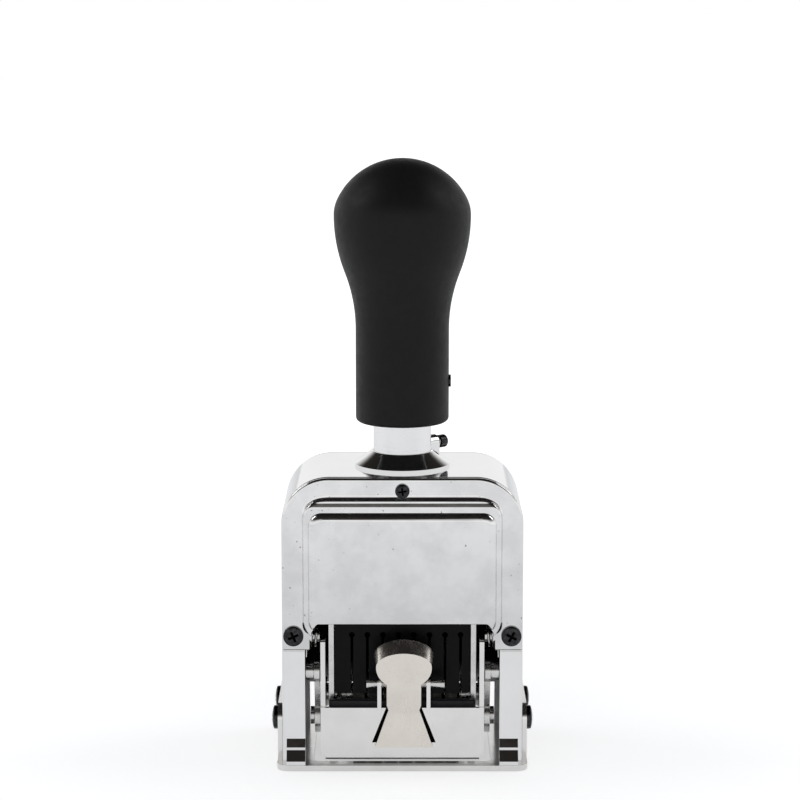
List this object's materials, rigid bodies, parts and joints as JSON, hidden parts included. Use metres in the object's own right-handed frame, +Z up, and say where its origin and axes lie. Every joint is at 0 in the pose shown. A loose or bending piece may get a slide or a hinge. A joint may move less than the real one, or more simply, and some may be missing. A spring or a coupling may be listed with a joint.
{
  "type": "numbering machine",
  "caption": "Hand numbering stamp: chromed arched case, black knob on a plunger, number wheels on an axle behind a window, swinging ink pad with thumb latch.",
  "frame": {"origin": "middle of the base plate's lower face", "axes": "+Z up along the plunger, +X to the right seen from the front, front faces -Y"},
  "size_m": [0.068, 0.0433, 0.156],
  "materials": {
    "case_chrome": "bright chrome plate over a cast frame",
    "cover_chrome": "satin chrome plate over pressed sheet",
    "nickel_sheet": "nickel plated sheet",
    "warm_nickel": "soft nickel plate with a warm tint",
    "plunger_chrome": "satin chrome tube",
    "bright_steel": "zinc plated steel",
    "blued_steel": "black oxide steel",
    "wheel_steel": "dark steel, inked",
    "spring_wire": "bright spring wire",
    "black_screw": "black oxide",
    "knob_plastic": "satin black plastic",
    "ink_felt": "felt soaked with black ink"
  },
  "bodies": {
    "case": {"case_frame": "case_chrome", "front_cover": "cover_chrome", "rear_cover": "cover_chrome", "base_plate": "nickel_sheet", "cover_screws_front": "black_screw", "cover_screws_rear": "black_screw", "side_screws": "black_screw", "collar": "case_chrome", "lock_spring": "spring_wire", "spring_bridge": "bright_steel", "link_studs": "bright_steel", "torsion_springs": "spring_wire"},
    "plunger": {"knob": "knob_plastic", "knob_screw": "black_screw", "plunger_tube": "plunger_chrome", "crosshead": "bright_steel", "cage_plate_left": "bright_steel", "cage_plate_right": "bright_steel", "tie_rods": "bright_steel", "comb_rod": "bright_steel", "retainer_comb": "blued_steel", "wheel_axle": "bright_steel", "axle_spacers": "bright_steel", "main_spring": "spring_wire"},
    "lock": {"lock_button": "black_screw"},
    "feed": {"feed_arm": "bright_steel", "feed_pawl": "blued_steel"},
    "selector": {"repeat_selector": "bright_steel"},
    "ink_frame": {"ink_holder": "nickel_sheet", "holder_rivets": "bright_steel", "latch_pin": "bright_steel"},
    "tray": {"ink_tray": "nickel_sheet", "ink_felt": "ink_felt"},
    "latch": {"thumb_latch": "warm_nickel"},
    "link_l": {"link_left": "bright_steel"},
    "link_r": {"link_right": "bright_steel"},
    "wheel_1": {"number_wheel_1": "wheel_steel"},
    "wheel_2": {"number_wheel_2": "wheel_steel"},
    "wheel_3": {"number_wheel_3": "wheel_steel"},
    "wheel_4": {"number_wheel_4": "wheel_steel"},
    "wheel_5": {"number_wheel_5": "wheel_steel"},
    "wheel_6": {"number_wheel_6": "wheel_steel"},
    "wheel_7": {"number_wheel_7": "wheel_steel"}
  },
  "joints": [
    {"name": "plunger_slide", "type": "slide", "parent": "case", "child": "plunger", "axis": [0, 0, 1], "range_m": [0, 0.018], "deforming": ["main_spring"]},
    {"name": "ink_frame_swing", "type": "hinge", "parent": "plunger", "child": "ink_frame", "pos_m": [0, 0, 0.0145], "axis": [1, 0, 0], "range_deg": [0, 79.2]},
    {"name": "tray_slide", "type": "slide", "parent": "ink_frame", "child": "tray", "axis": [0, 0, 1], "range_m": [0, 0.012]},
    {"name": "latch_tilt", "type": "hinge", "parent": "ink_frame", "child": "latch", "pos_m": [0, -0.0193, 0.023], "axis": [1, 0, 0], "range_deg": [-8, 0], "stiffness_Nm_per_rad": 0.01, "springref_deg": 8.59},
    {"name": "link_left_swing", "type": "hinge", "parent": "case", "child": "link_l", "pos_m": [-0.0219, -0.0148, 0.025], "axis": [1, 0, 0], "range_deg": [0, 55.6]},
    {"name": "link_right_swing", "type": "hinge", "parent": "case", "child": "link_r", "pos_m": [0.0219, -0.0148, 0.025], "axis": [1, 0, 0], "range_deg": [0, 55.6]},
    {"name": "feed_swing", "type": "hinge", "parent": "plunger", "child": "feed", "pos_m": [0, 0, 0.0145], "axis": [1, 0, 0], "range_deg": [0, 36.2]},
    {"name": "selector_turn", "type": "hinge", "parent": "plunger", "child": "selector", "pos_m": [-0.01645, 0, 0.0145], "axis": [1, 0, 0], "range_deg": [-18, 18]},
    {"name": "lock_press", "type": "slide", "parent": "case", "child": "lock", "axis": [0.7431, 0.6691, 0], "range_m": [-0.0014, 0], "stiffness_N_per_m": 150, "springref_m": 0.001},
    {"name": "wheel_1_spin", "type": "hinge", "parent": "plunger", "child": "wheel_1", "pos_m": [0, 0, 0.0145], "axis": [1, 0, 0], "continuous": true},
    {"name": "wheel_2_spin", "type": "hinge", "parent": "plunger", "child": "wheel_2", "pos_m": [0, 0, 0.0145], "axis": [1, 0, 0], "continuous": true},
    {"name": "wheel_3_spin", "type": "hinge", "parent": "plunger", "child": "wheel_3", "pos_m": [0, 0, 0.0145], "axis": [1, 0, 0], "continuous": true},
    {"name": "wheel_4_spin", "type": "hinge", "parent": "plunger", "child": "wheel_4", "pos_m": [0, 0, 0.0145], "axis": [1, 0, 0], "continuous": true},
    {"name": "wheel_5_spin", "type": "hinge", "parent": "plunger", "child": "wheel_5", "pos_m": [0, 0, 0.0145], "axis": [1, 0, 0], "continuous": true},
    {"name": "wheel_6_spin", "type": "hinge", "parent": "plunger", "child": "wheel_6", "pos_m": [0, 0, 0.0145], "axis": [1, 0, 0], "continuous": true},
    {"name": "wheel_7_spin", "type": "hinge", "parent": "plunger", "child": "wheel_7", "pos_m": [0, 0, 0.0145], "axis": [1, 0, 0], "continuous": true}
  ],
  "couplings": [
    {"joint": "ink_frame_swing", "follows": "plunger_slide", "rad_per_m": 76.6},
    {"joint": "link_left_swing", "follows": "plunger_slide", "rad_per_m": 53.73},
    {"joint": "link_right_swing", "follows": "plunger_slide", "rad_per_m": 53.73},
    {"joint": "feed_swing", "follows": "plunger_slide", "rad_per_m": 34.9}
  ]
}
